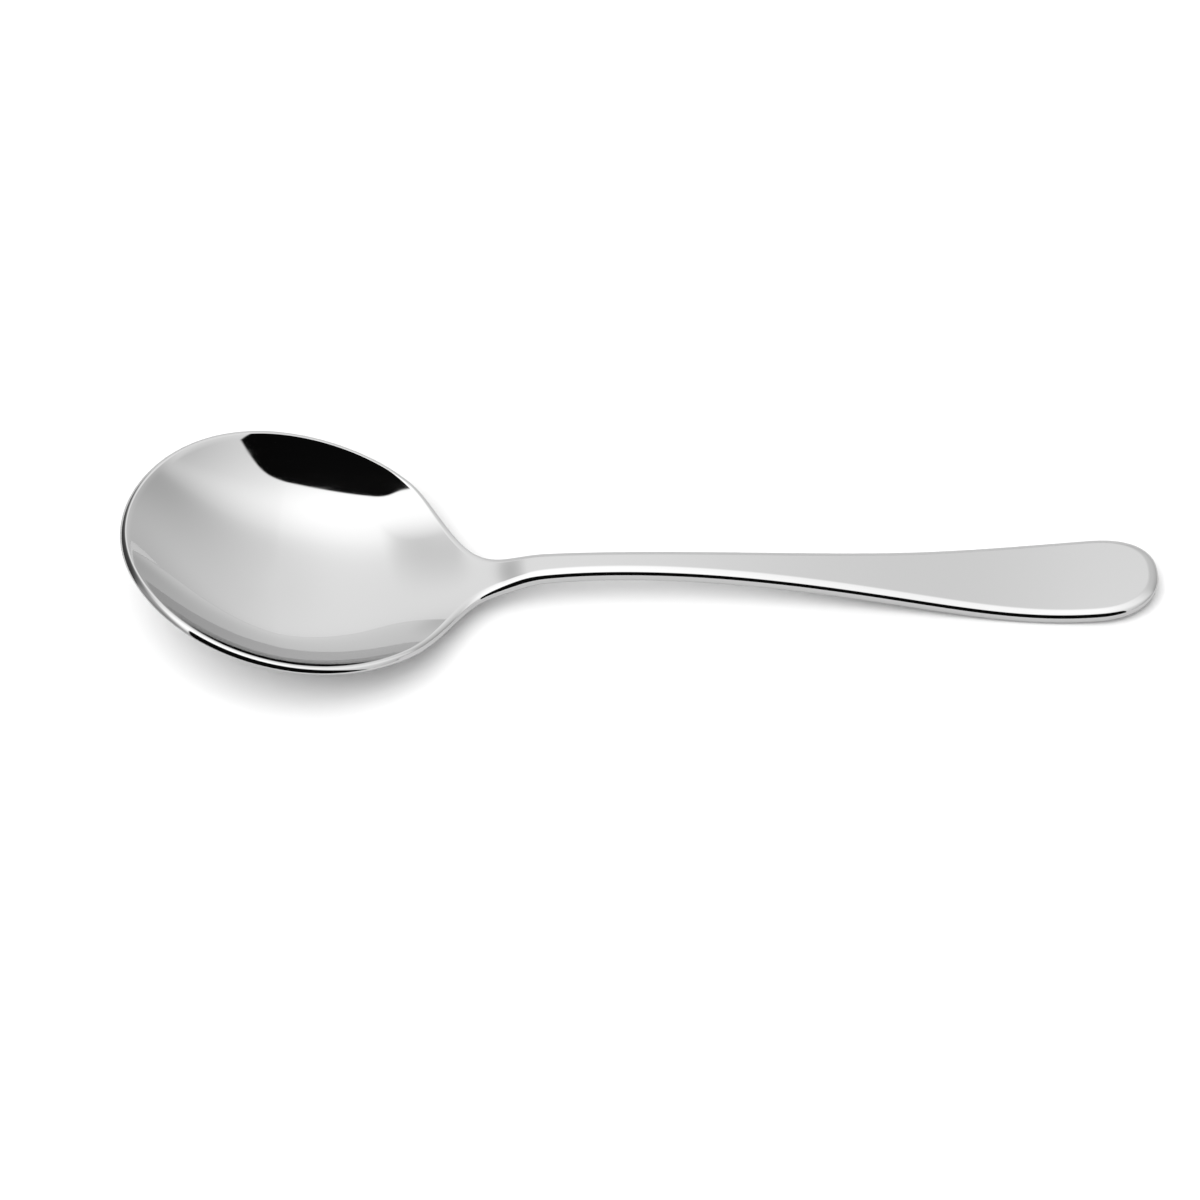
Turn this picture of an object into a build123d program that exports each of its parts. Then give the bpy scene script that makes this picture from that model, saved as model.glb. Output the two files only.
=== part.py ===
from build123d import *
from math import atan, cos, radians, sin
import os

# A soup spoon lying at rest: millimetres, +X from bowl to handle end, +Z up, table at Z = 0.
# The one steel blank is divided at two planes square to X: bowl, neck, handle.

# Driving dimensions of the bowl
spoon_length = 175.0
bowl_width = 51.2
bowl_length = 60.0           # along the rim, from the tip to where the ellipse closes
bowl_depth = 11.3            # inside, below the rim
bowl_power = 2.6             # 2 is a plain dish, more gives a flatter floor and steeper wall
wall_thickness = 1.35
rim_pitch = 16.0             # degrees that the tip is tilted up when the handle rests

# Driving dimensions of the neck
neck_length = 26.0
flare_length = 1.5           # of the neck that still follows the bowl
waist_width = 11.4           # where the neck is lowest
dip_height = 4.6             # of the neck's edge there, at half its thickness
neck_floor = 5.3             # height of the top of the neck there
dip_lean = 0.06              # radians that its rounded side leans out there
throat_width = 6.5           # where the neck is half way up to the stem
stem_rise = 0.1              # slope at which the neck runs into the stem
neck_steps = 10              # sections that shape the neck past the flare
probe_length = 0.5           # each way from the flare, to find how the bowl leaves it

# Driving dimensions of the handle
stem_width = 5.4
stem_length = 19.0           # the even part before the blade widens
handle_width = 16.8
handle_thickness = 3.0
cap_length = 11.0            # of the rounded handle end
edge_radius = 1.26
crown = 0.3                  # fall of the top from its middle to the sides of the blade
stem_start_height = 7.95     # these three are the middle of the handle above the table
arch_height = 8.4
slope_height = 5.05
end_lift = 1.3               # of the handle end above the place where the handle rests
rest_length = 17.5           # from that place to the handle end
arch_length = 8.0            # from the start of the stem to the top of its arch

# Places along a piece as shares of its own length
cut_share = 0.31             # of the bowl from its middle to the plane where the neck begins
dip_share = 0.41             # of the neck past the flare, to where it is lowest
throat_share = 0.65          # of the neck past the flare, to where it is half way up
swell_share = 0.57           # of the widening blade, to where it has half its width

# Stations along X, all from the middle of the spoon
tip_x = -spoon_length / 2
end_x = spoon_length / 2
bowl_middle_x = tip_x + bowl_length / 2 * cos(radians(rim_pitch))
bowl_cut_x = bowl_middle_x + cut_share * bowl_length
flare_x = bowl_cut_x + flare_length
stem_x = bowl_cut_x + neck_length
dip_x = flare_x + dip_share * (stem_x - flare_x)
throat_x = flare_x + throat_share * (stem_x - flare_x)
arch_x = stem_x + arch_length
swell_x = stem_x + stem_length
cap_x = end_x - cap_length
rest_x = end_x - rest_length


def bowl_profile():
    """Half section of the bowl: inner curve, rounded rim, outer curve at an even wall."""
    rim_lean = atan(2 * bowl_depth * bowl_power / bowl_width)
    rim_radius = bowl_width / 2 - wall_thickness / 2 * (1 + sin(rim_lean))

    def slope(r):
        return atan(bowl_depth * bowl_power / rim_radius * (r / rim_radius) ** (bowl_power - 1))

    inner = []
    outer = []
    for step in range(6):
        r = rim_radius * step / 5
        z = bowl_depth * ((r / rim_radius) ** bowl_power - 1)
        inner.append(Vector(r, 0, z))
        outer.append(Vector(r + wall_thickness * sin(slope(r)), 0, z - wall_thickness * cos(slope(r))))
    lean = slope(rim_radius)
    up_wall = Vector(cos(lean), 0, sin(lean))
    rim_top = (inner[-1] + outer[-1]) * 0.5 + up_wall * (wall_thickness / 2)
    edges = [
        Spline(*inner, tangents=[(1, 0, 0), up_wall]),
        ThreePointArc(inner[-1], rim_top, outer[-1]),
        Spline(*outer, tangents=[(1, 0, 0), up_wall]),
        Line(outer[0], inner[0]),
    ]
    return make_face(edges)


def whole_bowl():
    """The profile turned into a dish, stretched to an ellipse, tilted and set on the table."""
    dish = Rot(0, 0, 180) * revolve(bowl_profile(), Axis.Z)
    dish = scale(dish, by=(bowl_length / bowl_width, 1, 1))
    dish = Rot(0, rim_pitch, 0) * dish
    box = dish.bounding_box()
    return Pos(tip_x - box.min.X, 0, -box.min.Z) * dish


def cut_at(body, x):
    """The part of a body on the tip side of a plane square to X."""
    return split(body, bisect_by=Plane(origin=(x, 0, 0), z_dir=(-1, 0, 0)), keep=Keep.TOP)


def end_face(body):
    """The flat face of a body that is farthest along X."""
    return body.faces().sort_by(Axis.X)[-1]


def bar_section(x, half_width, height, floor, edge, middle, lean, fullness):
    """A closed section square to X: hollow or flat top, fully rounded sides, matching underside.

    The rounded sides are centred at height, are as thick as edge, and lean outwards by an angle.
    The top passes through floor in the middle, where the bar is as thick as middle. Half way to
    the sides the hollow has risen by a share, fullness, of what it rises in all.
    """
    radius = edge / 2
    centre = Vector(x, half_width - radius, height)
    up_wall = Vector(0, cos(lean), sin(lean))
    across = Vector(0, -sin(lean), cos(lean))

    def other(point):
        return Vector(point.X, -point.Y, point.Z)

    def hollow(side, middle_height):
        half_way = Vector(x, side.Y / 2, middle_height + fullness * (side.Z - middle_height))
        points = [other(side), other(half_way), (x, 0, middle_height), half_way, side]
        return Spline(*points, tangents=[-other(up_wall), up_wall])

    inner = centre + across * radius
    tip = centre + up_wall * radius
    outer = centre - across * radius
    return Wire([
        hollow(inner, floor),
        ThreePointArc(inner, tip, outer),
        hollow(outer, floor - middle),
        ThreePointArc(other(outer), other(tip), other(inner)),
    ])


def value_at(guide, x):
    """The second coordinate of a guide curve where its first one is x."""
    low = 0.0
    high = 1.0
    for _ in range(40):
        middle = (low + high) / 2
        if (guide @ middle).X < x:
            low = middle
        else:
            high = middle
    return (guide @ low).Y


def bowl_sizes(bowl, x):
    """What bar_section needs, measured on the bowl: widths, heights, walls, lean and fullness."""
    face = end_face(cut_at(bowl, x))
    outer, inner = face.vertices().filter_by(lambda vertex: vertex.Y > 0).sort_by(Axis.Z)
    edge = Vector(inner) - Vector(outer)
    lean = atan(-edge.Y / edge.Z)
    height = (inner.Z + outer.Z) / 2

    def heights(y):
        crossing = face.intersect(Line((x, y, -spoon_length), (x, y, spoon_length)))
        return crossing.vertices().sort_by(Axis.Z)

    floor = heights(0)[-1].Z
    middle = floor - heights(0)[0].Z
    fullness = (heights(inner.Y / 2)[-1].Z - floor) / (inner.Z - floor)
    half_width = (inner.Y + outer.Y) / 2 + edge.length / 2
    return half_width, height, floor, edge.length, middle, lean, fullness


def handle_blank():
    """Plan outline of the handle: slim stem, widening blade, rounded end."""
    stem_side = stem_width / 2
    blade_side = handle_width / 2
    start = (stem_x, stem_side)
    swell = (swell_x, stem_side)
    half_way_x = swell_x + swell_share * (cap_x - swell_x)
    half_way = (half_way_x, (stem_side + blade_side) / 2)
    shoulder = (cap_x, blade_side)
    side = [
        Line(start, swell),
        Spline(swell, half_way, shoulder, tangents=[(1, 0), (1, 0)]),
        EllipticalCenterArc((cap_x, 0), cap_length, blade_side, start_angle=0, arc_size=90),
    ]
    other = [edge.mirror(Plane.XZ) for edge in side]
    outline = make_face(side + other + [Line((stem_x, -stem_side), start)])
    return extrude(outline, amount=spoon_length / 2, both=True)


def handle_path():
    """Side view of the middle of the handle: arch of the stem, resting point, lifted end."""
    half = handle_thickness / 2
    points = [
        (stem_x, 0, stem_start_height),
        (arch_x, 0, arch_height),
        ((arch_x + rest_x) / 2, 0, slope_height),
        (rest_x, 0, half),
        (end_x, 0, half + end_lift),
    ]
    return Spline(*points)


def make_handle():
    """A crowned bar swept along the side view, cut to the plan outline, with rounded edges."""
    path = handle_path()
    half = handle_thickness / 2
    reach = 0.6 * handle_width
    drop = crown * (2 * reach / handle_width) ** 2
    section = make_face([
        ThreePointArc((-reach, half - drop), (0, half), (reach, half - drop)),
        Line((reach, half - drop), (reach, -half)),
        Line((reach, -half), (-reach, -half)),
        Line((-reach, -half), (-reach, half - drop)),
    ])
    start = Plane(origin=path @ 0, x_dir=(0, 1, 0), z_dir=(1, 0, 0))
    bar = sweep(start * section, path=path)
    handle = bar & handle_blank()
    start_face = handle.faces().sort_by(Axis.X)[0]
    kept = start_face.edges()
    upright = handle.edges().filter_by(Axis.Z)
    rounded = [edge for edge in handle.edges() if edge not in kept and edge not in upright]
    return fillet(rounded, edge_radius)


def make_neck(bowl):
    """Lofted from the bowl's own sections along guide curves through the flare to the stem."""
    flare = bowl_sizes(bowl, flare_x)
    before = bowl_sizes(bowl, flare_x - probe_length)
    after = bowl_sizes(bowl, flare_x + probe_length)

    def guide(index, dip, throat, stem, rise):
        leave = (2 * probe_length, after[index] - before[index])
        points = [(flare_x, flare[index]), (dip_x, dip), (throat_x, throat), (stem_x, stem)]
        return Spline(*points, tangents=[leave, (1, rise)])

    stem_top = stem_start_height + handle_thickness / 2
    half_widths = guide(0, waist_width / 2, throat_width / 2, stem_width / 2, 0)
    heights = guide(1, dip_height, (dip_height + stem_start_height) / 2, stem_start_height, stem_rise)
    floors = guide(2, neck_floor, (neck_floor + stem_top) / 2, stem_top, stem_rise)
    leans = guide(5, dip_lean, 0, 0, 0)

    sections = [end_face(cut_at(bowl, x)).outer_wire() for x in (bowl_cut_x, flare_x)]
    for step in range(1, neck_steps + 1):
        share = step / neck_steps
        x = flare_x + share * (stem_x - flare_x)
        edge = flare[3] + (handle_thickness - flare[3]) * share
        middle = flare[4] + (handle_thickness - flare[4]) * share
        fullness = flare[6] + (0.25 - flare[6]) * share
        along = [value_at(curve, x) for curve in (half_widths, heights, floors)]
        sections.append(bar_section(x, *along, edge, middle, value_at(leans, x), fullness))
    return Solid.make_loft(sections)


bowl_whole = whole_bowl()
nodes = {
    "bowl": cut_at(bowl_whole, bowl_cut_x),
    "neck": make_neck(bowl_whole),
    "handle": make_handle(),
}

os.makedirs("parts", exist_ok=True)
for name, solid in nodes.items():
    solid.label = name
    export_step(solid, "parts/" + name + ".step")
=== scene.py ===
import math

import bmesh
import bpy
import numpy as np
from mathutils import Matrix, Vector


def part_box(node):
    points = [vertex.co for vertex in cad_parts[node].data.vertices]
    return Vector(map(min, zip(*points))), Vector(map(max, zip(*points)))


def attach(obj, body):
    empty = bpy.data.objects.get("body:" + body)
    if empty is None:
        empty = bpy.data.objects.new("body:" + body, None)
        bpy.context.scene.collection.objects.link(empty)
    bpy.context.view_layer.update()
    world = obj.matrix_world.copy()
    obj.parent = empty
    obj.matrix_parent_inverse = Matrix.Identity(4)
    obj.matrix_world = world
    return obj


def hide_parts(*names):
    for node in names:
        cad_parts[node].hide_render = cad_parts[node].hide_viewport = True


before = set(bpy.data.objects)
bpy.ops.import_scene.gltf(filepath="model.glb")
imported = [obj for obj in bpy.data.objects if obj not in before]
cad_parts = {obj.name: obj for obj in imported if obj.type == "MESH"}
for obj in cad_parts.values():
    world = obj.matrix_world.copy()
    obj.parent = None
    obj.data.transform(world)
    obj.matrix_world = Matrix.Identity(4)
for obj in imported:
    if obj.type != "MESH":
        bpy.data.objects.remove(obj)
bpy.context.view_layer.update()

BOWL_LOW, BOWL_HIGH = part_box("bowl")
NECK_LOW, NECK_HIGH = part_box("neck")
HANDLE_LOW, HANDLE_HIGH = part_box("handle")

# Stretches along X over which the bowl gives way to the handle
NECK_RISE = (-0.0435, -0.0275)
NECK_CROWN = (-0.0315, -0.0175)
NECK_THICKNESS = (-0.046, -0.012)
NECK_EDGE = (-0.045, -0.02)

# Where the middle of the top leaves the bowl's hollow
JOIN_X = -0.046

# Places along X and half the width there
NECK_SIDES = ((-0.0285, 0.0058), (-0.0226, 0.0033))
BLADE_SIDE = (0.046, 0.0056)

# Where the even stem ends
SWELL_X = 0.005

# Places along X and the height of the middle of the top there
TOP_HEIGHTS = (
    (-0.04, 0.00293), (-0.036, 0.00393), (-0.032, 0.00501), (-0.028, 0.0061), (-0.024, 0.0072),
    (-0.0205, 0.00849), (-0.018, 0.00923), (-0.015, 0.00961), (-0.006, 0.0099), (0.032, 0.00655),
)

# Where the handle rests, from its end, the height of its top there and at the end, and the slope at the end
REST_LENGTH = 0.0175
REST_HEIGHT = 0.00306
END_HEIGHT = 0.0047
END_SLOPE = 0.14

# Share of the handle's thickness by which its edge is parted above the middle
PARTING_RISE = 0.08

# How finely the skin is divided: along the outline, from the spine to the edge, and round half the edge
BOWL_PLACES = 130
BAR_PLACES = 270
CAP_PLACES = 50
TOP_ROWS = 34
EDGE_ROWS = 9

# How much closer together the rows lie towards the edge
ROW_CROWDING = 0.25

# Points of the skin that lie closer than this become one
MERGE_DISTANCE = 2e-6

# Distance over which slopes are measured
SLOPE_STEP = 2e-5

# How far past the rim the tip's own form is followed, over the bowl's reach
TIP_LIMIT = 1.05

# Powers with which the tip's gentler wall, its droop and its taper come in
TIP_WALL_POWER = 1.3
TIP_DROOP_POWER = 6
TIP_TAPER_POWER = 4

# Least way from the bowl's middle, over its reach, that is reckoned with
LEAST_SHARE = 1e-6

# Rounds in which the tilted hollow and the inset of the edge are worked out
HOLLOW_ROUNDS = 24
INSET_ROUNDS = 8

# Unevenness of the steel: roughness from and to, and the change of its tone
ROUGHNESS = (0.02, 0.06)
BUFFING = 0.015

# Unevenness of the floor, and its painted shade in the mirror: how bright the steel's reflections see it,
# standing in for the shadowed floor round the spoon
FLOOR_GRAIN = 0.01
FLOOR_SHADE_IN_MIRROR = 0.6

# Tones of the studio by degrees from the back horizon, over the ceiling at 90, to the camera's side
BACK_TO_FRONT = (
    (-30, 0.61), (-8, 0.64), (6, 0.79), (20, 0.88), (40, 0.89), (58, 0.90), (72, 0.93), (82, 1.02),
    (90, 1.15), (100, 1.27), (112, 1.36), (125, 1.2), (145, 0.96), (180, 0.96),
)

# Their change by degrees from the tip's side to the handle's side
LEFT_TO_RIGHT = (
    (-90, 0.25), (-60, 0.25), (-50, 0.3), (-42, 0.5), (-36, 0.84), (-29, 0.97), (-14, 1.0), (6, 1.0),
    (18, 0.95), (30, 0.85), (45, 0.76), (58, 0.67), (72, 0.53), (90, 0.4),
)

# Dark card beyond the tip: its top and side in degrees, their softness, and its tone
CARD_TOP = 82.0
CARD_TOP_SOFTNESS = 22.0
CARD_SIDE = 27.5
CARD_SIDE_SOFTNESS = 9.0
CARD_TONE = 0.25

# Black flag on the camera's side, in a plane one unit in front of the bowl
FLAG_SIDE = 1.06
FLAG_END = 1.0
FLAG_TOP = 1.6
FLAG_SLANT = 0.4
FLAG_ROUNDING = 0.4
FLAG_SOFTNESS = 0.03
FLAG_TONE = 0.003

# The dome that carries the studio
DOME_CENTRE = (-0.058, 0.0, 0.012)
DOME_RADIUS = 0.38

# Floor, light and camera
FLOOR_HALF_WIDTH = 3.0
WORLD_LIGHT = 0.62
LAMP_PLACE = (-0.6, -1.0, 2.6)
LAMP_SIZE = (2.2, 2.0)
LAMP_POWER = 66.0
CAMERA_AIM = (-0.00696, -0.00057, 0.0)
CAMERA_DISTANCE = 0.754
CAMERA_TURN = math.radians(1.45)
CAMERA_TILT = math.radians(51.3)
CAMERA_LENS = 133.53
CAMERA_SENSOR = 36.0

bl_info = {
    "name": "Soup spoon",
    "version": (1, 0, 0),
    "blender": (4, 5, 0),
    "location": "View3D > Sidebar > Spoon",
    "description": "A mirror-polished steel soup spoon on a white studio floor",
    "category": "Object",
}


def length(name, description, default):
    """A size in metres that a user can change."""
    return bpy.props.FloatProperty(
        name=name, description=description, default=default, unit="LENGTH", precision=5
    )


def colour(name, description, default):
    """A linear colour that a user can change."""
    return bpy.props.FloatVectorProperty(
        name=name, description=description, default=default, subtype="COLOR", size=3, min=0.0, max=2.0
    )


class SpoonSizes(bpy.types.PropertyGroup):
    """Sizes of the spoon, in the frame of the solids: +X to the handle end, table at Z = 0."""

    bowl_middle_x: length("Bowl middle", "Middle of the bowl's rim along X", BOWL_LOW.x + 0.02899)
    bowl_middle_z: length("Rim height", "Height of the middle of the bowl's rim", BOWL_HIGH.z - 0.00797)
    bowl_half_width: length("Bowl half width", "From the middle to the side of the rim", BOWL_HIGH.y)
    bowl_reach: length("Bowl reach", "From the middle of the rim towards the neck, in plan", 0.02899)
    tip_reach: length("Tip reach", "From the middle of the rim to its tip, in plan", 0.0280)
    bowl_stretch: bpy.props.FloatProperty(
        name="Bowl stretch", description="Length of the rim over its width", default=60.0 / 51.2
    )
    dish_radius: length("Dish radius", "Half width of the hollow at the rim", 0.02442)
    bowl_depth: length("Bowl depth", "Depth of the hollow below the rim", 0.0113)
    bowl_power: bpy.props.FloatProperty(
        name="Bowl power", description="2 is a plain dish, more is a flatter floor and steeper wall",
        default=2.6,
    )
    rim_pitch: bpy.props.FloatProperty(
        name="Rim pitch", description="Tilt of the tip upwards",
        default=math.radians(16.0), subtype="ANGLE",
    )
    tip_taper: bpy.props.FloatProperty(
        name="Tip taper", description="How much narrower than an ellipse the bowl is at its tip", default=0.05
    )
    tip_power: bpy.props.FloatProperty(
        name="Tip power", description="Like the power, for the gentler wall at the tip", default=2.0
    )
    tip_droop: length("Tip droop", "How far the rim falls below its plane at the tip", 0.0008)
    wall: length("Wall", "Thickness of the bowl", 0.00135)
    rim_bulge: bpy.props.FloatProperty(
        name="Rim bulge", description="How far the bowl's edge bulges, over half its thickness", default=0.42
    )
    flare_x: length("Flare", "Where the outline leaves the bowl's ellipse", NECK_LOW.x + 0.0015)
    stem_x: length("Stem start", "Where the even stem begins", HANDLE_LOW.x)
    stem_half_width: length("Stem half width", "From the middle to the side of the stem", 0.0027)
    handle_half_width: length("Handle half width", "At the widest place of the blade", HANDLE_HIGH.y)
    handle_thickness: length("Handle thickness", "Thickness of stem and blade", 0.003)
    end_x: length("Handle end", "Place of the handle end along X", HANDLE_HIGH.x)
    cap_length: length("Cap", "Length of the rounded handle end", 0.011)
    cap_fullness: bpy.props.FloatProperty(
        name="Cap fullness", description="1 is an elliptical handle end, less is a fuller one", default=0.87
    )
    neck_hollow: bpy.props.FloatProperty(
        name="Neck hollow", description="Rise of the neck's top, over the square of the way to its side",
        default=20.0,
    )
    crown: length("Crown", "Fall of the blade's top from its middle to its sides", 0.0003)
    shoulder_turn: bpy.props.FloatProperty(
        name="Shoulder turn", description="Slope at the crease where the handle's upper edge begins",
        default=math.radians(23.5), subtype="ANGLE",
    )
    shoulder_hold: bpy.props.FloatProperty(
        name="Shoulder hold", description="How long the upper edge keeps that slope before it rounds down",
        default=3.0,
    )
    heel: bpy.props.FloatProperty(
        name="Heel", description="Width of the handle's rounding below, over its height", default=0.56
    )


class SpoonLooks(bpy.types.PropertyGroup):
    """Colours of the steel and of the studio."""

    steel: colour("Steel", "Colour of the polished steel", (0.8, 0.8, 0.8))
    steel_edge: colour("Steel edge", "Colour of the steel seen at a low angle", (0.88, 0.88, 0.88))
    floor: colour("Floor", "Colour of the floor", (0.94, 0.94, 0.94))


def smooth_step(x, low, high):
    """0 below low, 1 above high, and an even S between them."""
    t = np.clip((x - low) / (high - low), 0.0, 1.0)
    return t * t * t * (t * (6.0 * t - 15.0) + 10.0)


def guide(points, start_slope, end_slope):
    """A smooth curve through a few places, as a function of the first coordinate."""
    x, y = np.array(points).T
    gaps = np.diff(x)
    count = len(x)
    matrix = np.eye(count)
    right = np.zeros(count)
    right[0] = start_slope
    right[-1] = end_slope
    for i in range(1, count - 1):
        before, after = gaps[i - 1], gaps[i]
        matrix[i, i - 1:i + 2] = (1.0 / before, 2.0 / before + 2.0 / after, 1.0 / after)
        right[i] = 3.0 * ((y[i] - y[i - 1]) / before ** 2 + (y[i + 1] - y[i]) / after ** 2)
    slopes = np.linalg.solve(matrix, right)

    def value(at):
        at = np.clip(at, x[0], x[-1])
        i = np.clip(np.searchsorted(x, at) - 1, 0, count - 2)
        t = (at - x[i]) / gaps[i]
        near = (1.0 + 2.0 * t) * (1.0 - t) ** 2 * y[i] + t * (1.0 - t) ** 2 * gaps[i] * slopes[i]
        far = t * t * (3.0 - 2.0 * t) * y[i + 1] + t * t * (t - 1.0) * gaps[i] * slopes[i + 1]
        return near + far

    return value


def oval_edge(width):
    """Half of an oval edge, one unit high: how far aside and how far down its rows lie."""
    turn = np.linspace(0.0, math.pi / 2.0, EDGE_ROWS + 1)[1:]
    return width * np.sin(turn), 1.0 - np.cos(turn)


def creased_edge(start, hold):
    """The same for an edge that starts with a crease and rounds down to upright."""
    steps = 20
    share = np.linspace(0.0, 1.0, EDGE_ROWS * steps + 1)
    slope = start + (math.pi / 2.0 - start) * share ** hold
    aside = np.cumsum(np.cos(slope))
    down = np.cumsum(np.sin(slope))
    return aside[steps::steps] / down[-1], down[steps::steps] / down[-1]


class SpoonForm:
    """The spoon's surface: plan outline, height of the top, thickness, and the skin round them."""

    def __init__(self, sizes):
        self.sizes = sizes
        end = sizes.end_x
        cap = end - sizes.cap_length
        stem = sizes.stem_x
        side = sizes.stem_half_width
        blade = sizes.handle_half_width
        flare = sizes.flare_x
        self.cap_x = cap
        self.flare_turn = math.acos((flare - sizes.bowl_middle_x) / sizes.bowl_reach)
        flare_side = sizes.bowl_half_width * math.sin(self.flare_turn)
        leave = -sizes.bowl_half_width / sizes.bowl_reach / math.tan(self.flare_turn)
        self.half_width = guide(
            [(flare, flare_side), *NECK_SIDES, (stem, side), (SWELL_X, side), BLADE_SIDE, (cap, blade)],
            leave, 0.0,
        )
        # The middle of the top leaves the bowl at the bowl's own slope
        around_join = JOIN_X + np.array([-SLOPE_STEP, 0.0, SLOPE_STEP])
        before, join, after = self.dish(around_join, np.zeros(3))
        self.middle = guide(
            [(JOIN_X, join), *TOP_HEIGHTS, (end - REST_LENGTH, REST_HEIGHT), (end, END_HEIGHT)],
            (after - before) / (2.0 * SLOPE_STEP), END_SLOPE,
        )

    def tip_taper(self, along):
        """How much narrower than an ellipse the bowl is, at a share of its reach: less than 1 to the tip."""
        tip = np.clip(-along, 0.0, TIP_LIMIT)
        return 1.0 - self.sizes.tip_taper * tip ** TIP_TAPER_POWER

    def hollow_share(self, along, wide):
        """Height inside the untilted bowl, from -1 in the middle to 0 at the rim: gentler to the tip."""
        s = self.sizes
        share = np.maximum(np.hypot(along, wide), LEAST_SHARE)
        tip = np.clip(-along, 0.0, TIP_LIMIT)
        power = s.bowl_power + (s.tip_power - s.bowl_power) * (tip / share) ** TIP_WALL_POWER
        return share ** power - 1.0 - s.tip_droop / s.bowl_depth * tip ** TIP_DROOP_POWER

    def dish(self, x, y):
        """Height of the bowl's hollow, stretched and pitched."""
        s = self.sizes
        turn_cos, turn_sin = math.cos(s.rim_pitch), math.sin(s.rim_pitch)
        x = np.minimum(x, NECK_HIGH.x) - s.bowl_middle_x
        z = np.zeros_like(x)
        for _ in range(HOLLOW_ROUNDS):
            along = (x * turn_cos - z * turn_sin) / s.bowl_stretch / s.dish_radius
            wide = y / self.tip_taper(along) / s.dish_radius
            miss = x * turn_sin + z * turn_cos - s.bowl_depth * self.hollow_share(along, wide)
            share = np.maximum(np.hypot(along, wide), LEAST_SHARE)
            growth = s.bowl_depth * s.bowl_power * share ** (s.bowl_power - 2.0)
            growth *= along * turn_sin / s.bowl_stretch / s.dish_radius
            z = z - miss / (turn_cos + growth)
        return z + s.bowl_middle_z

    def hollow(self, x):
        """How fast the top of neck and handle rises to its sides: hollow in the neck, crowned beyond."""
        hollow = self.sizes.neck_hollow
        crowned = -self.sizes.crown / self.sizes.handle_half_width ** 2
        return hollow + (crowned - hollow) * smooth_step(x, *NECK_CROWN)

    def top(self, x, y):
        """Height of the upper surface: the bowl's middle runs on into neck and handle."""
        share = smooth_step(x, *NECK_RISE)
        bowl_middle = self.dish(x, np.zeros_like(y))
        middle = np.where(x < JOIN_X, bowl_middle, self.middle(x))
        bowl_rise = self.dish(x, y) - bowl_middle
        return middle + (1.0 - share) * bowl_rise + share * self.hollow(x) * y * y

    def thickness(self, x, y):
        """Thickness square to the upper surface; the crowned blade has a flat underside."""
        s = self.sizes
        reach = np.minimum(x - s.bowl_middle_x, 0.0) / s.bowl_reach
        wall = s.wall * (1.0 + (s.bowl_stretch - 1.0) * reach ** 2)
        even = wall + (s.handle_thickness - wall) * smooth_step(x, *NECK_THICKNESS)
        return even + np.minimum(self.hollow(x), 0.0) * y * y

    def slopes(self, x, y):
        """Slope of the upper surface along X and along Y."""
        step = SLOPE_STEP
        along = (self.top(x + step, y) - self.top(x - step, y)) / (2.0 * step)
        across = (self.top(x, y + step) - self.top(x, y - step)) / (2.0 * step)
        return along, across

    def lifted(self, plan):
        """Points on the upper surface above plan points, and its unit normals there."""
        x, y = plan[..., 0], plan[..., 1]
        along, across = self.slopes(x, y)
        points = np.stack([x, y, self.top(x, y)], -1)
        normals = np.stack([-along, -across, np.ones_like(along)], -1)
        return points, normals / np.linalg.norm(normals, axis=-1, keepdims=True)

    def outline(self):
        """Half of the plan outline from tip to handle end, and the spine point that each place faces."""
        s = self.sizes
        turn = np.linspace(math.pi, self.flare_turn, BOWL_PLACES)
        bowl_side = s.bowl_half_width * np.sin(turn) * self.tip_taper(np.cos(turn))
        reach = np.where(turn > math.pi / 2.0, s.tip_reach, s.bowl_reach)
        bowl = np.stack([s.bowl_middle_x + reach * np.cos(turn), bowl_side], -1)
        x = np.linspace(s.flare_x, self.cap_x, BAR_PLACES)[1:]
        bar = np.stack([x, self.half_width(x)], -1)
        turn = np.linspace(0.0, math.pi / 2.0, CAP_PLACES)[1:]
        ahead = np.maximum(np.sin(turn), 0.0) ** s.cap_fullness
        aside = np.maximum(np.cos(turn), 0.0) ** s.cap_fullness
        cap = np.stack([self.cap_x + s.cap_length * ahead, s.handle_half_width * aside], -1)
        edge = np.concatenate([bowl, bar, cap])
        spine = np.zeros_like(edge)
        spine[:, 0] = np.clip(edge[:, 0], s.bowl_middle_x, self.cap_x)
        return edge, spine

    def half_skin(self, edge, spine, out, handle_edge, side):
        """The upper or lower skin from the spine to the middle of the edge; side is 1 above, -1 below."""
        s = self.sizes
        to_handle = smooth_step(edge[:, 0], *NECK_EDGE)
        rim_edge = oval_edge(s.rim_bulge)
        aside, down = (rim + (bar - rim) * to_handle[:, None] for rim, bar in zip(rim_edge, handle_edge))
        inset = np.full(len(edge), s.wall / 2.0)
        for _ in range(INSET_ROUNDS):
            inner = edge - out * inset[:, None]
            radius = self.thickness(inner[:, 0], inner[:, 1]) * (0.5 - PARTING_RISE * side * to_handle)
            lean = np.arctan(np.sum(np.stack(self.slopes(inner[:, 0], inner[:, 1]), -1) * out, -1))
            inset = radius * (np.sin(lean) + np.hypot(np.sin(lean), aside[:, -1] * np.cos(lean)))
        share = np.linspace(0.0, 1.0, TOP_ROWS)
        share = share * (1.0 + ROW_CROWDING - ROW_CROWDING * share)
        plan = spine[:, None] + (inner - spine)[:, None] * share[None, :, None]
        points, normal = self.lifted(plan)
        if side < 0.0:
            points = points - normal * self.thickness(plan[..., 0], plan[..., 1])[..., None]

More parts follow.
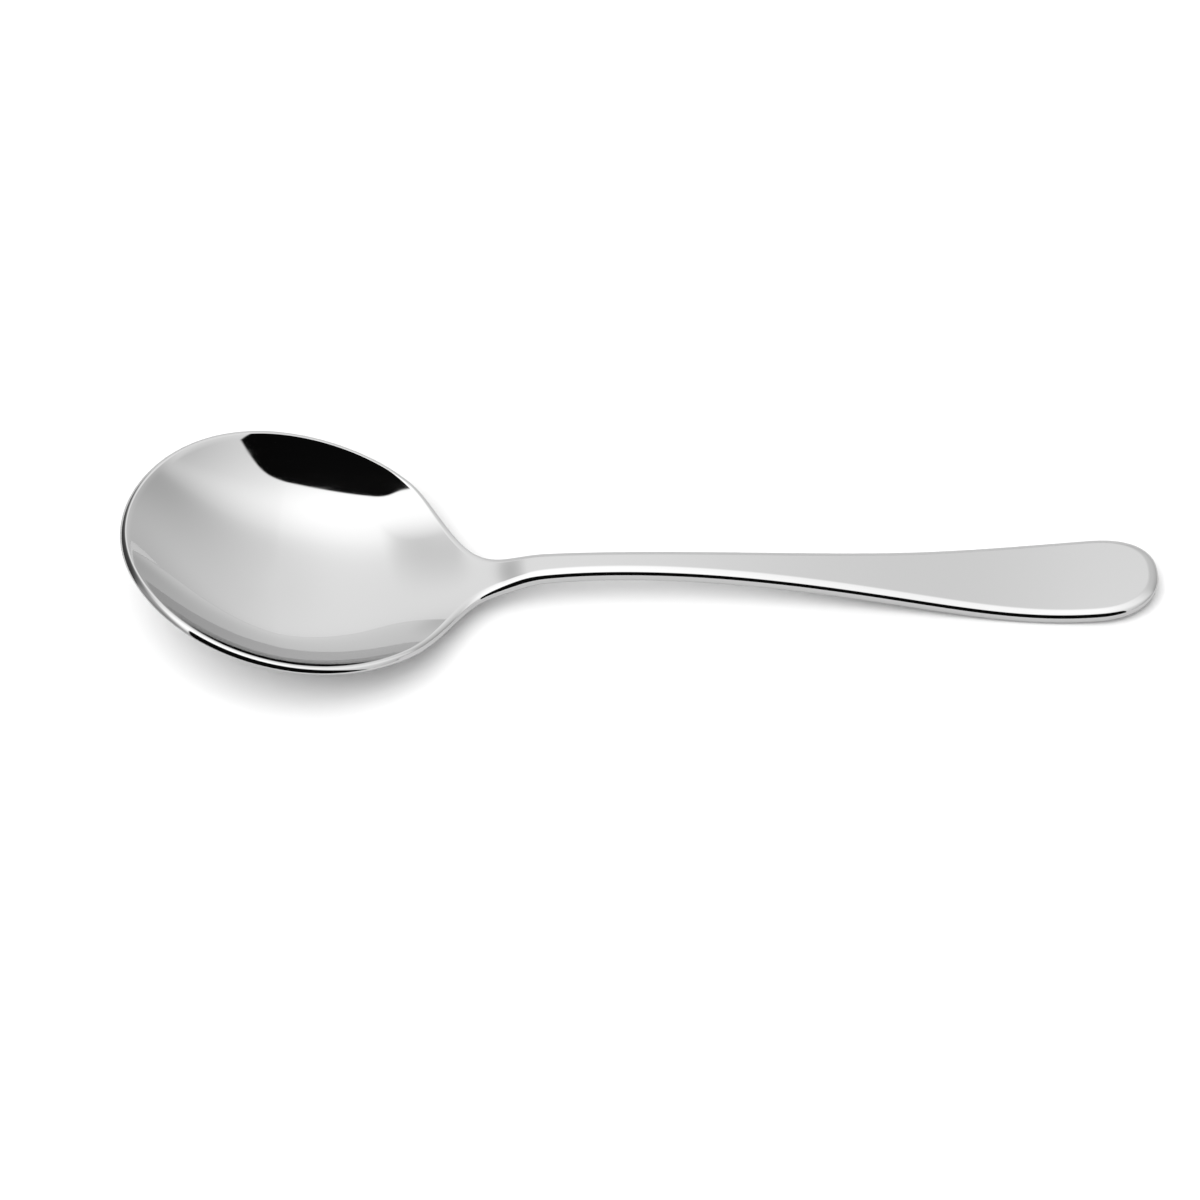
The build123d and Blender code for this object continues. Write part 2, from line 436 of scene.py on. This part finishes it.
        run = np.gradient(points[:, -1], axis=0)
        run[0] = run[-1] = (0.0, 1.0, 0.0)
        rim_normal = normal[:, -1]
        sideways = np.cross(run, rim_normal)
        sideways /= np.linalg.norm(sideways, axis=-1, keepdims=True)
        sideways *= np.sign(np.sum(sideways[:, :2] * out, -1))[:, None]
        round_edge = sideways[:, None] * aside[..., None] - rim_normal[:, None] * down[..., None] * side
        round_edge = points[:, -1:] + round_edge * radius[:, None, None]
        return np.concatenate([points, round_edge], axis=1)

    def skin(self):
        """All points of the skin: round the outline, and from the spine over the edge and back below."""
        edge, spine = self.outline()
        run = np.gradient(edge, axis=0)
        out = np.stack([-run[:, 1], run[:, 0]], -1)
        out /= np.linalg.norm(out, axis=-1, keepdims=True)
        out[0] = (-1.0, 0.0)
        out[-1] = (1.0, 0.0)
        shoulder = creased_edge(self.sizes.shoulder_turn, self.sizes.shoulder_hold)
        above = self.half_skin(edge, spine, out, shoulder, 1.0)
        below = self.half_skin(edge, spine, out, oval_edge(self.sizes.heel), -1.0)
        half = np.concatenate([above, below[:, -2::-1]], axis=1)
        other = half[::-1] * np.array([1.0, -1.0, 1.0])
        return np.concatenate([half, other])


def polish_marks():
    """Node group: faint marks of polishing along the spoon, and broad unevenness of the buffing."""
    group = bpy.data.node_groups.new("polish_marks", "ShaderNodeTree")
    for name, value in (("Mark Size", 900.0), ("Mark Stretch", 0.06), ("Buff Size", 45.0)):
        socket = group.interface.new_socket(name, in_out="INPUT", socket_type="NodeSocketFloat")
        socket.default_value = value
    group.interface.new_socket("Marks", in_out="OUTPUT", socket_type="NodeSocketFloat")
    group.interface.new_socket("Buffing", in_out="OUTPUT", socket_type="NodeSocketFloat")
    nodes, links = group.nodes, group.links
    inputs = nodes.new("NodeGroupInput")
    outputs = nodes.new("NodeGroupOutput")
    place = nodes.new("ShaderNodeTexCoord")
    stretch = nodes.new("ShaderNodeCombineXYZ")
    stretch.inputs["Y"].default_value = 1.0
    stretch.inputs["Z"].default_value = 1.0
    links.new(inputs.outputs["Mark Stretch"], stretch.inputs["X"])
    mapping = nodes.new("ShaderNodeMapping")
    links.new(place.outputs["Object"], mapping.inputs["Vector"])
    links.new(stretch.outputs["Vector"], mapping.inputs["Scale"])
    marks = nodes.new("ShaderNodeTexNoise")
    marks.inputs["Detail"].default_value = 4.0
    links.new(mapping.outputs["Vector"], marks.inputs["Vector"])
    links.new(inputs.outputs["Mark Size"], marks.inputs["Scale"])
    links.new(marks.outputs["Fac"], outputs.inputs["Marks"])
    buffing = nodes.new("ShaderNodeTexNoise")
    buffing.inputs["Detail"].default_value = 2.0
    links.new(place.outputs["Object"], buffing.inputs["Vector"])
    links.new(inputs.outputs["Buff Size"], buffing.inputs["Scale"])
    links.new(buffing.outputs["Fac"], outputs.inputs["Buffing"])
    return group


def ranged(nodes, links, source, low, high):
    """The noise, which lies mostly from 0.3 to 0.7, brought to the range from low to high."""
    node = nodes.new("ShaderNodeMapRange")
    node.inputs["From Min"].default_value = 0.3
    node.inputs["From Max"].default_value = 0.7
    node.inputs["To Min"].default_value = low
    node.inputs["To Max"].default_value = high
    links.new(source, node.inputs["Value"])
    return node.outputs["Result"]


def scaled(tone, factor):
    """A linear colour with its brightness multiplied, ready for a colour socket."""
    return (tone[0] * factor, tone[1] * factor, tone[2] * factor, 1.0)


def polished_steel(looks):
    """Mirror-polished stainless steel with faint polishing marks."""
    material = bpy.data.materials.new("polished_steel")
    material.use_nodes = True
    nodes, links = material.node_tree.nodes, material.node_tree.links
    shader = nodes["Principled BSDF"]
    shader.inputs["Metallic"].default_value = 1.0
    shader.inputs["Specular Tint"].default_value = (*looks.steel_edge, 1.0)
    finish = nodes.new("ShaderNodeGroup")
    finish.node_tree = polish_marks()
    tint = nodes.new("ShaderNodeMix")
    tint.data_type = "RGBA"
    tint.inputs["A"].default_value = scaled(looks.steel, 1.0 - BUFFING)
    tint.inputs["B"].default_value = scaled(looks.steel, 1.0 + BUFFING)
    links.new(finish.outputs["Buffing"], tint.inputs["Factor"])
    links.new(tint.outputs["Result"], shader.inputs["Base Color"])
    links.new(ranged(nodes, links, finish.outputs["Marks"], *ROUGHNESS), shader.inputs["Roughness"])
    return material


def finished(name, bm, material):
    """An object of the mesh, smooth, linked to the scene."""
    mesh = bpy.data.meshes.new(name)
    bm.to_mesh(mesh)
    bm.free()
    mesh.shade_smooth()
    mesh.materials.append(material)
    piece = bpy.data.objects.new(name, mesh)
    bpy.context.scene.collection.objects.link(piece)
    return piece


class SPOON_OT_spoon(bpy.types.Operator):
    """Makes the spoon as one unbroken skin over bowl, neck and handle."""

    bl_idname = "spoon.make_spoon"
    bl_label = "Make spoon"

    def execute(self, context):
        points = SpoonForm(context.scene.spoon_sizes).skin()
        around, across = points.shape[0] - 1, points.shape[1] - 1
        bm = bmesh.new()
        bmesh.ops.create_grid(bm, x_segments=around, y_segments=across, size=0.5)
        for vert in bm.verts:
            i = round((vert.co.x + 0.5) * around)
            j = round((vert.co.y + 0.5) * across)
            vert.co = points[i, j]
        bmesh.ops.remove_doubles(bm, verts=bm.verts, dist=MERGE_DISTANCE)
        bmesh.ops.dissolve_degenerate(bm, edges=bm.edges, dist=1e-7)
        bmesh.ops.recalc_face_normals(bm, faces=bm.faces)
        spoon = finished("spoon", bm, polished_steel(context.scene.spoon_looks))
        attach(spoon, "root")
        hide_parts("bowl", "neck", "handle")
        return {"FINISHED"}


def white_floor(looks):
    """Plain pale floor with a trace of unevenness, and painted shade where the steel mirrors it: darker for
    glossy rays only.
    """
    material = bpy.data.materials.new("pale_floor")
    material.use_nodes = True
    nodes, links = material.node_tree.nodes, material.node_tree.links
    shader = nodes["Principled BSDF"]
    shader.inputs["Roughness"].default_value = 0.9
    shader.inputs["Specular IOR Level"].default_value = 0.0
    place = nodes.new("ShaderNodeTexCoord")
    grain = nodes.new("ShaderNodeTexNoise")
    grain.inputs["Scale"].default_value = 30.0
    links.new(place.outputs["Object"], grain.inputs["Vector"])
    tint = nodes.new("ShaderNodeMix")
    tint.data_type = "RGBA"
    tint.inputs["A"].default_value = scaled(looks.floor, 1.0)
    tint.inputs["B"].default_value = scaled(looks.floor, 1.0 + FLOOR_GRAIN)
    links.new(grain.outputs["Fac"], tint.inputs["Factor"])
    # Painted shade: glossy rays see the floor darker, standing in for the shadow on the floor round the spoon
    # that the steel mirrors
    path = nodes.new("ShaderNodeLightPath")
    shaded_in_mirror = nodes.new("ShaderNodeMix")
    shaded_in_mirror.data_type = "RGBA"
    shaded_in_mirror.inputs["B"].default_value = scaled(looks.floor, FLOOR_SHADE_IN_MIRROR)
    links.new(path.outputs["Is Glossy Ray"], shaded_in_mirror.inputs["Factor"])
    links.new(tint.outputs["Result"], shaded_in_mirror.inputs["A"])
    links.new(shaded_in_mirror.outputs["Result"], shader.inputs["Base Color"])
    return material


class Sums:
    """Short ways to add arithmetic nodes to a tree; sockets and plain numbers go in, a socket comes out."""

    def __init__(self, tree):
        self.nodes, self.links = tree.nodes, tree.links

    def put(self, socket, value):
        """A number or a linked socket as the input."""
        if isinstance(value, bpy.types.NodeSocket):
            self.links.new(value, socket)
        else:
            socket.default_value = value

    def math(self, operation, first, second=0.0, third=0.0):
        """One arithmetic step."""
        node = self.nodes.new("ShaderNodeMath")
        node.operation = operation
        for socket, value in zip(node.inputs, (first, second, third)):
            self.put(socket, value)
        return node.outputs["Value"]

    def step(self, value, low, high):
        """0 below low and 1 above high, with a soft change between."""
        node = self.nodes.new("ShaderNodeMapRange")
        node.interpolation_type = "SMOOTHSTEP"
        self.put(node.inputs["Value"], value)
        node.inputs["From Min"].default_value = low
        node.inputs["From Max"].default_value = high
        return node.outputs["Result"]

    def step_degrees(self, angle, middle, softness):
        """A soft step of an angle about a middle, both in degrees."""
        return self.step(angle, math.radians(middle - softness), math.radians(middle + softness))

    def curve(self, value, tones):
        """A soft curve of grey tones over degrees from -180 to 180; tones may be brighter than 1."""
        peak = max(tone for _, tone in tones)
        ramp = self.nodes.new("ShaderNodeValToRGB")
        ramp.color_ramp.interpolation = "B_SPLINE"
        elements = ramp.color_ramp.elements
        elements.remove(elements[1])
        for place, (degrees, tone) in enumerate(tones):
            element = elements[0] if place == 0 else elements.new(1.0)
            element.position = (degrees + 180.0) / 360.0
            element.color = (tone / peak, tone / peak, tone / peak, 1.0)
        share = self.math("MULTIPLY_ADD", value, 0.5 / math.pi, 0.5)
        self.links.new(share, ramp.inputs["Fac"])
        return self.math("MULTIPLY", ramp.outputs["Color"], peak)


def mirrored_studio(tree):
    """What the steel mirrors: grey back, white ceiling, dark card beyond the tip, black flag in front."""
    sums = Sums(tree)
    place = tree.nodes.new("ShaderNodeTexCoord")
    from_centre = tree.nodes.new("ShaderNodeVectorMath")
    from_centre.operation = "SUBTRACT"
    from_centre.inputs[1].default_value = DOME_CENTRE
    tree.links.new(place.outputs["Object"], from_centre.inputs[0])
    direction = tree.nodes.new("ShaderNodeVectorMath")
    direction.operation = "NORMALIZE"
    tree.links.new(from_centre.outputs["Vector"], direction.inputs[0])
    parts = tree.nodes.new("ShaderNodeSeparateXYZ")
    tree.links.new(direction.outputs["Vector"], parts.inputs["Vector"])
    x, y, z = parts.outputs
    up_angle = sums.math("ARCTAN2", z, y)
    side_angle = sums.math("ARCSINE", x)
    rise = sums.curve(up_angle, BACK_TO_FRONT)
    fall = sums.curve(side_angle, LEFT_TO_RIGHT)
    above_card = sums.step_degrees(up_angle, CARD_TOP, CARD_TOP_SOFTNESS)
    past_card = sums.step_degrees(side_angle, -CARD_SIDE, CARD_SIDE_SOFTNESS)
    open_view = sums.math("MAXIMUM", above_card, past_card)
    card = sums.math("MULTIPLY_ADD", open_view, 1.0 - CARD_TONE, CARD_TONE)
    fall = sums.math("MULTIPLY", fall, card)
    front = sums.math("MAXIMUM", sums.math("MULTIPLY", y, -1.0), 0.001)
    flag_x = sums.math("DIVIDE", x, front)
    flag_z = sums.math("MULTIPLY_ADD", flag_x, FLAG_SLANT, sums.math("DIVIDE", z, front))
    past_side = sums.math("SUBTRACT", flag_x, FLAG_SIDE)
    past_top = sums.math("SUBTRACT", flag_z, FLAG_TOP)
    past_end = sums.math("SUBTRACT", sums.math("MULTIPLY", flag_x, -1.0), FLAG_END)
    past = sums.math("SMOOTH_MAX", past_side, past_top, FLAG_ROUNDING)
    past = sums.math("SMOOTH_MAX", past, past_end, FLAG_ROUNDING)
    lit = sums.step(past, -FLAG_SOFTNESS, FLAG_SOFTNESS)
    lit = sums.math("MULTIPLY_ADD", lit, 1.0 - FLAG_TONE, FLAG_TONE)
    return sums.math("MULTIPLY", sums.math("MULTIPLY", rise, fall), lit)


def studio_dome():
    """A dome round the spoon that only the steel's mirror sees."""
    bm = bmesh.new()
    place = Matrix.Translation(DOME_CENTRE)
    bmesh.ops.create_uvsphere(bm, u_segments=64, v_segments=32, radius=DOME_RADIUS, matrix=place)
    material = bpy.data.materials.new("mirrored_studio")
    material.use_nodes = True
    nodes, links = material.node_tree.nodes, material.node_tree.links
    nodes.clear()
    output = nodes.new("ShaderNodeOutputMaterial")
    glow = nodes.new("ShaderNodeEmission")
    links.new(mirrored_studio(material.node_tree), glow.inputs["Strength"])
    links.new(glow.outputs["Emission"], output.inputs["Surface"])
    dome = finished("dome", bm, material)
    dome.visible_camera = False
    dome.visible_diffuse = False
    dome.visible_shadow = False


def studio_world():
    """White surroundings for the camera, and plain light for the floor."""
    world = bpy.data.worlds.new("studio")
    world.use_nodes = True
    nodes, links = world.node_tree.nodes, world.node_tree.links
    nodes.clear()
    output = nodes.new("ShaderNodeOutputWorld")
    plain = nodes.new("ShaderNodeBackground")
    plain.inputs["Color"].default_value = (1.0, 1.0, 1.0, 1.0)
    plain.inputs["Strength"].default_value = WORLD_LIGHT
    seen = nodes.new("ShaderNodeBackground")
    seen.inputs["Color"].default_value = (1.0, 1.0, 1.0, 1.0)
    path = nodes.new("ShaderNodeLightPath")
    by_camera = nodes.new("ShaderNodeMixShader")
    links.new(path.outputs["Is Camera Ray"], by_camera.inputs["Fac"])
    links.new(plain.outputs["Background"], by_camera.inputs[1])
    links.new(seen.outputs["Background"], by_camera.inputs[2])
    links.new(by_camera.outputs["Shader"], output.inputs["Surface"])
    return world


class SPOON_OT_stage(bpy.types.Operator):
    """Makes the floor, the light and the camera."""

    bl_idname = "spoon.make_stage"
    bl_label = "Make stage"

    def execute(self, context):
        scene = context.scene
        bm = bmesh.new()
        bmesh.ops.create_grid(bm, x_segments=4, y_segments=4, size=FLOOR_HALF_WIDTH)
        floor = finished("floor", bm, white_floor(scene.spoon_looks))
        studio_dome()
        scene.world = studio_world()

        lamp = bpy.data.lights.new("softbox", "AREA")
        lamp.shape = "RECTANGLE"
        lamp.size, lamp.size_y = LAMP_SIZE
        lamp.energy = LAMP_POWER
        softbox = bpy.data.objects.new("softbox", lamp)
        softbox.location = LAMP_PLACE
        softbox.rotation_euler = (-Vector(softbox.location)).to_track_quat("-Z", "Y").to_euler()
        softbox.visible_glossy = False
        scene.collection.objects.link(softbox)

        lens = bpy.data.cameras.new("camera")
        lens.lens = CAMERA_LENS
        lens.sensor_width = CAMERA_SENSOR
        camera = bpy.data.objects.new("camera", lens)
        level = math.cos(CAMERA_TILT)
        forward = Vector((
            math.sin(CAMERA_TURN) * level,
            math.cos(CAMERA_TURN) * level,
            -math.sin(CAMERA_TILT),
        ))
        camera.location = Vector(CAMERA_AIM) - CAMERA_DISTANCE * forward
        camera.rotation_euler = forward.to_track_quat("-Z", "Y").to_euler()
        scene.collection.objects.link(camera)
        scene.camera = camera
        scene.view_settings.view_transform = "Standard"
        return {"FINISHED"}


class SPOON_PT_panel(bpy.types.Panel):
    """The spoon's operators and values."""

    bl_idname = "SPOON_PT_panel"
    bl_label = "Soup spoon"
    bl_space_type = "VIEW_3D"
    bl_region_type = "UI"
    bl_category = "Spoon"

    def draw(self, context):
        layout = self.layout
        for operator in OPERATORS:
            layout.operator(operator.bl_idname)
        for group in (context.scene.spoon_sizes, context.scene.spoon_looks):
            box = layout.box()
            for name in group.__annotations__:
                box.prop(group, name)


OPERATORS = (SPOON_OT_spoon, SPOON_OT_stage)
CLASSES = (SpoonSizes, SpoonLooks, *OPERATORS, SPOON_PT_panel)


def register():
    for cls in CLASSES:
        bpy.utils.register_class(cls)
    bpy.types.Scene.spoon_sizes = bpy.props.PointerProperty(type=SpoonSizes)
    bpy.types.Scene.spoon_looks = bpy.props.PointerProperty(type=SpoonLooks)


def unregister():
    del bpy.types.Scene.spoon_looks
    del bpy.types.Scene.spoon_sizes
    for cls in reversed(CLASSES):
        bpy.utils.unregister_class(cls)


def main():
    register()
    bpy.ops.spoon.make_spoon()
    bpy.ops.spoon.make_stage()


if __name__ == "__main__":
    main()
